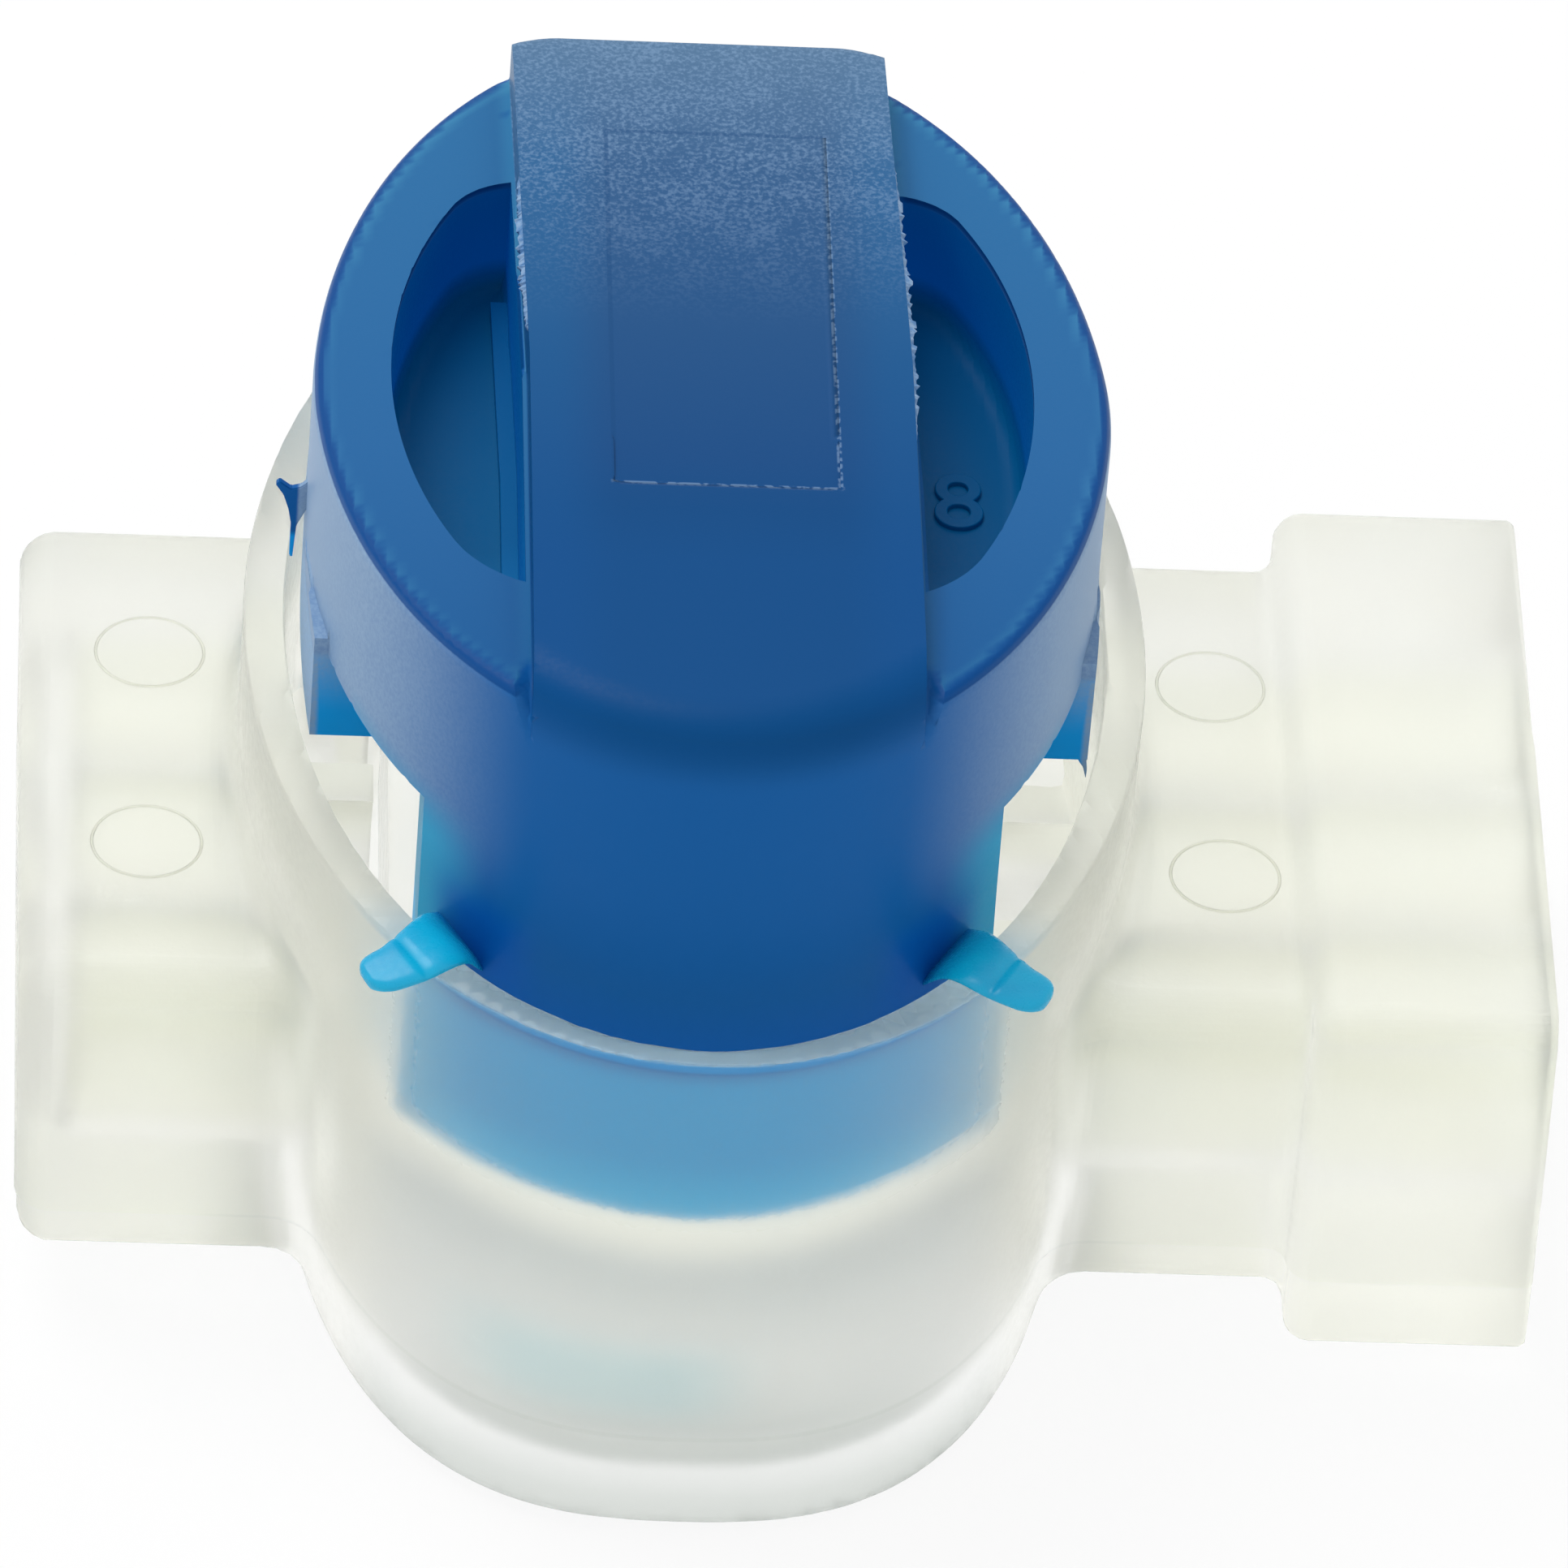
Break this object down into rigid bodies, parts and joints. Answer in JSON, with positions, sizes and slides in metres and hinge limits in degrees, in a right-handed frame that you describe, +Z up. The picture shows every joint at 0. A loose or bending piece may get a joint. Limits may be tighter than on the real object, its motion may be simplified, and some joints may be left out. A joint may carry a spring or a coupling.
{
  "type": "wire connector",
  "caption": "Gel-filled push-cap wire connector: a flat translucent housing with side-by-side wire ports and an oval well, and a blue cap that presses a slotted contact over the wires.",
  "frame": {"origin": "centre of the bounding box on the plane the part stands on, the flat bottom of the oval well", "axes": "+X along the wires towards the open ports, +Z up against the cap's press direction, +Y to the back"},
  "size_m": [0.03, 0.0264, 0.0187],
  "materials": {
    "housing": "milky translucent polypropylene, satin",
    "cap": "blue polypropylene with a fine grain",
    "tab": "the cap's blue, thin enough to let light through",
    "contact": "tin-plated brass sheet",
    "gel": "clear soft gel"
  },
  "bodies": {
    "base": {"housing": "housing", "sealant_gel": "gel"},
    "cap": {"push_cap": "cap", "contact": "contact", "hold_tab_front_left": "tab", "hold_tab_front_right": "tab", "hold_tab_back_left": "tab", "hold_tab_back_right": "tab"}
  },
  "joints": [
    {"name": "cap_press", "type": "slide", "parent": "base", "child": "cap", "axis": [0, 0, -1], "range_m": [0, 0.0057], "deforming": ["sealant_gel", "hold_tab_front_left", "hold_tab_front_right", "hold_tab_back_left", "hold_tab_back_right"]}
  ]
}
